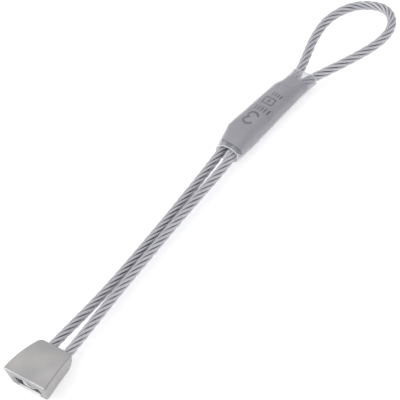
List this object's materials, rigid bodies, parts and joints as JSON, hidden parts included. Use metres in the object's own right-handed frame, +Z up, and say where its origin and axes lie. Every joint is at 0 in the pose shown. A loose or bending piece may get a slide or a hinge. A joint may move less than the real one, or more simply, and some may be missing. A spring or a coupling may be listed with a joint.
{
  "type": "wired climbing nut",
  "caption": "Climbing nut: a curved aluminium wedge with two bores, threaded on a steel wire rope sling with a swaged ferrule, its label under a clear shrunk sleeve, and an eye.",
  "frame": {"origin": "middle of the whole part's footprint, on the surface it lies on", "axes": "+X from the wedge to the clip-in eye, +Y across the sling, +Z up out of the wedge's convex face"},
  "size_m": [0.1912, 0.0274, 0.0083],
  "materials": {
    "tumbled_aluminium": "tumbled satin",
    "galvanised_wire": "galvanised, stranded",
    "ferrule_metal": "pressed, dull",
    "label_film": "matt grey film",
    "clear_sleeve": "clear, slightly milky",
    "print_ink": "printed"
  },
  "bodies": {
    "sling": {"rope_strands": "galvanised_wire", "rope_core": "galvanised_wire", "swage_ferrule": "ferrule_metal", "printed_label": "label_film", "heat_shrink_sleeve": "clear_sleeve"},
    "wedge": {"chock_head": "tumbled_aluminium"}
  },
  "joints": [
    {"name": "wedge_slide", "type": "slide", "parent": "sling", "child": "wedge", "axis": [1, 0, 0], "range_m": [0, 0.007]}
  ]
}
